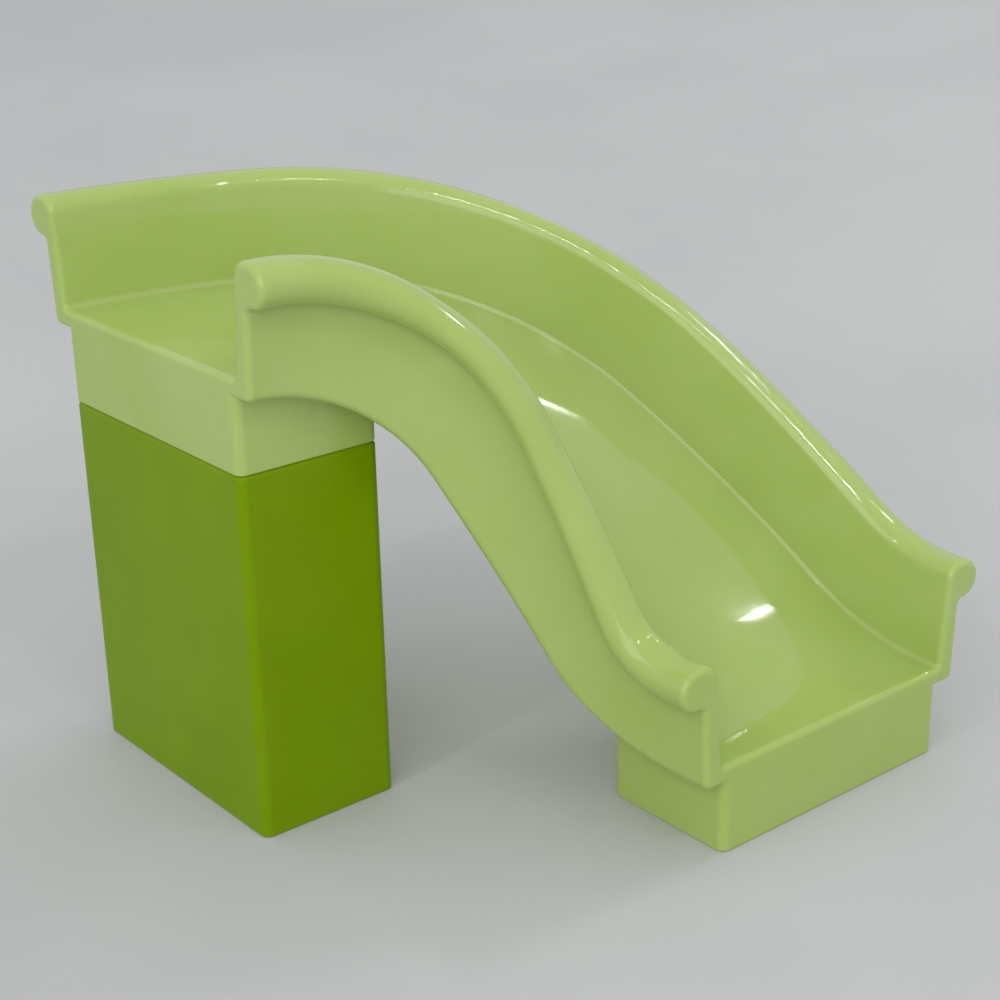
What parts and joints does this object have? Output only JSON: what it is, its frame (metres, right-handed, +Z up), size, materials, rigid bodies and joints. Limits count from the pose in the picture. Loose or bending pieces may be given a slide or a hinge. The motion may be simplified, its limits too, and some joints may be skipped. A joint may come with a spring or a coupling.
{
  "type": "curved toy slide",
  "caption": "Quarter-turn toy slide with railed walls, a hollow skirt over a tall studded support brick at the top and a hollow foot at the bottom.",
  "frame": {"origin": "on the ground below the middle of the whole object's bounding box", "axes": "+Z up; the slide's entrance faces -Y and its exit faces +X"},
  "size_m": [0.1396, 0.1396, 0.1189],
  "materials": {
    "slide_plastic": "gloss",
    "block_plastic": "gloss"
  },
  "bodies": {
    "support_block": {"support_block": "block_plastic"},
    "slide": {"slide": "slide_plastic"}
  },
  "joints": [
    {"name": "slide_lift_off", "type": "slide", "parent": "support_block", "child": "slide", "axis": [0, 0, 1], "range_m": [0, 0.02]}
  ]
}
